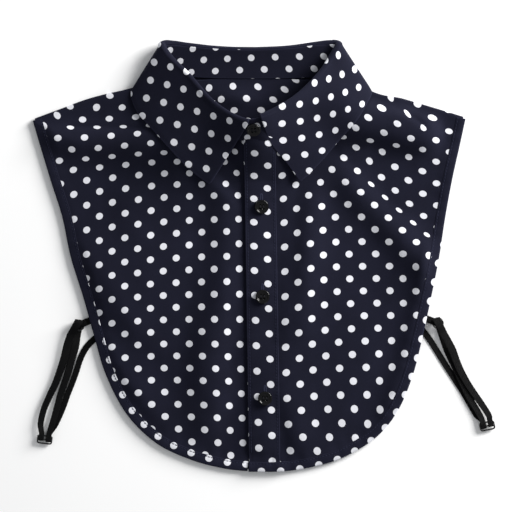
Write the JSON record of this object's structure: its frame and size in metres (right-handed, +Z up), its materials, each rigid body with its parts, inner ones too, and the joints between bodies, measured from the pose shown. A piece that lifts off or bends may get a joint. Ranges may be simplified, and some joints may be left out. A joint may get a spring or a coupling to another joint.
{
  "type": "detachable collar",
  "caption": "Dotted half-shirt collar with a buttoned neck and placket, bound edges and adjustable elastic side straps, lying flat.",
  "frame": {"origin": "middle of the underside of the bounding box, on the table that the collar lies on", "axes": "+X to the wearer's left, which is the picture's right, +Y from the hem towards the neck, +Z up off the table, out of the front of the collar"},
  "size_m": [0.3793, 0.3567, 0.0416],
  "materials": {
    "dotted_cotton": "matte",
    "black_elastic": "satin",
    "black_button": "gloss",
    "coated_metal": "gloss"
  },
  "bodies": {
    "root": {"back_panel": "dotted_cotton", "back_binding": "dotted_cotton", "front_right_panel": "dotted_cotton", "front_left_panel": "dotted_cotton", "front_placket": "dotted_cotton", "front_right_binding": "dotted_cotton", "front_left_binding": "dotted_cotton", "collar_stand": "dotted_cotton", "collar_leaf": "dotted_cotton", "placket_button_upper": "black_button", "placket_button_middle": "black_button", "placket_button_lower": "black_button", "stand_button": "black_button", "right_strap": "black_elastic", "right_strap_tab": "black_elastic", "right_strap_ring": "coated_metal", "right_strap_slider": "coated_metal", "left_strap": "black_elastic", "left_strap_tab": "black_elastic", "left_strap_ring": "coated_metal", "left_strap_slider": "coated_metal"}
  },
  "joints": []
}
